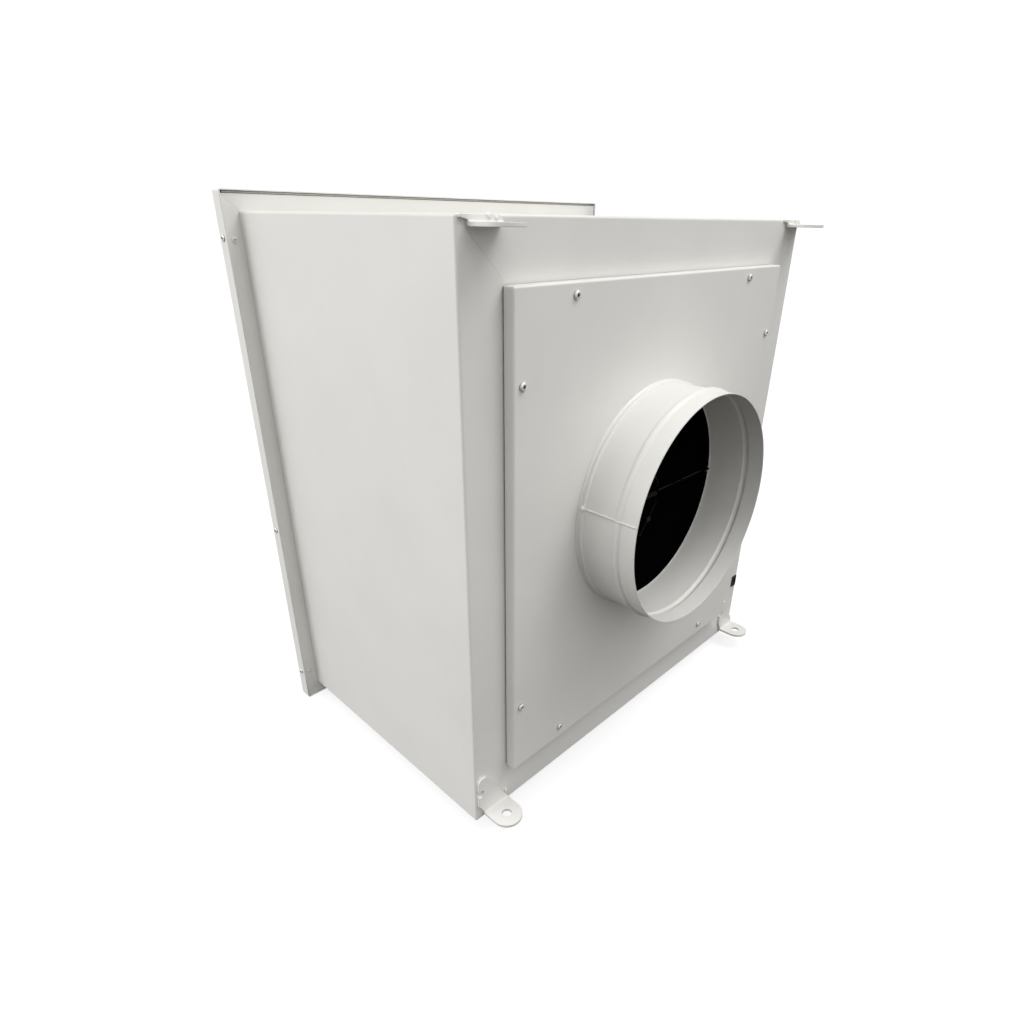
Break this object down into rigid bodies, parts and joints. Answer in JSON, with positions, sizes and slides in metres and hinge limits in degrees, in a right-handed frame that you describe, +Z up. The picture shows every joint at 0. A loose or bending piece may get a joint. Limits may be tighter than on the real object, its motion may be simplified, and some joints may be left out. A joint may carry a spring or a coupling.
{
  "type": "bathroom extractor fan",
  "caption": "Box-type ducted extractor fan: folded white cabinet with hanging lugs, round duct spigot with a butterfly shut-off damper, and a louvred room-side cover.",
  "frame": {"origin": "centre of the duct spigot's mouth, on the spigot's axis", "axes": "+Y from the duct through the fan into the room, +Z up, +X to the right when looking along +Y into the spigot"},
  "size_m": [0.5862, 0.4426, 0.6332],
  "materials": {
    "white_powder_coat": "satin white powder coat",
    "galvanised_sheet": "galvanised",
    "zinc_fastener": "zinc plated",
    "flap_black": "matte black",
    "spring_wire": "spring steel",
    "black_foam": "closed-cell foam",
    "grey_foam": "closed-cell foam",
    "black_plastic": "moulded",
    "black_rubber": "moulded",
    "filter_fibre": "non-woven fibre",
    "wheel_sheet": "satin dark grey",
    "motor_casting": "die cast",
    "bright_steel": "ground",
    "stator_winding": "lacquered copper wire",
    "grey_plastic": "moulded"
  },
  "bodies": {
    "cabinet": {"cabinet_left": "white_powder_coat", "cabinet_right": "white_powder_coat", "cabinet_top": "white_powder_coat", "cabinet_bottom": "white_powder_coat", "lug_lower_left": "white_powder_coat", "lug_lower_right": "white_powder_coat", "lug_upper_left": "white_powder_coat", "lug_upper_right": "white_powder_coat", "access_panel": "white_powder_coat", "duct_spigot": "white_powder_coat", "room_cover": "white_powder_coat", "grille_frame": "white_powder_coat", "grille_louvres": "white_powder_coat", "flange_rivets": "white_powder_coat", "damper_ring": "white_powder_coat", "filter_frame": "galvanised_sheet", "filter_guide_left": "galvanised_sheet", "filter_guide_right": "galvanised_sheet", "deck_runner_left": "galvanised_sheet", "deck_runner_right": "galvanised_sheet", "fan_deck": "galvanised_sheet", "inlet_ring": "galvanised_sheet", "motor_carrier": "galvanised_sheet", "panel_screws": "zinc_fastener", "panel_nuts": "zinc_fastener", "cover_screws": "zinc_fastener", "cover_nuts": "zinc_fastener", "grille_screws": "zinc_fastener", "deck_screws": "zinc_fastener", "inlet_ring_screws": "zinc_fastener", "motor_screws": "zinc_fastener", "motor_standoffs": "zinc_fastener", "standoff_nuts": "zinc_fastener", "damper_hinge_rod": "flap_black", "damper_spring_coil": "spring_wire", "panel_seal": "black_foam", "cover_seal": "grey_foam", "cable_inlet_frame": "black_plastic", "cable_inlet_bush": "black_rubber", "filter_pad": "filter_fibre", "stator_base": "motor_casting", "motor_bearings": "bright_steel", "stator_windings": "stator_winding", "terminal_box": "grey_plastic", "terminal_lid": "grey_plastic", "terminal_block": "grey_plastic"},
    "fan_wheel": {"wheel_backplate": "wheel_sheet", "wheel_blades": "wheel_sheet", "wheel_shroud": "wheel_sheet", "rotor_screws": "zinc_fastener", "rotor_housing": "motor_casting", "motor_shaft": "bright_steel"},
    "flap_upper": {"damper_flap_upper": "flap_black", "spring_arm_upper": "spring_wire", "arm_clip_upper": "spring_wire"},
    "flap_lower": {"damper_flap_lower": "flap_black", "spring_arm_lower": "spring_wire", "arm_clip_lower": "spring_wire"}
  },
  "joints": [
    {"name": "fan_wheel_spin", "type": "hinge", "parent": "cabinet", "child": "fan_wheel", "pos_m": [0, 0.222, 0], "axis": [0, 1, 0], "continuous": true},
    {"name": "flap_upper_hinge", "type": "hinge", "parent": "cabinet", "child": "flap_upper", "pos_m": [0, 0.0695, 0], "axis": [1, 0, 0], "range_deg": [0, 75], "stiffness_Nm_per_rad": 0.2, "springref_deg": -57.3},
    {"name": "flap_lower_hinge", "type": "hinge", "parent": "cabinet", "child": "flap_lower", "pos_m": [0, 0.0695, 0], "axis": [-1, 0, 0], "range_deg": [0, 75], "stiffness_Nm_per_rad": 0.2, "springref_deg": -57.3}
  ]
}
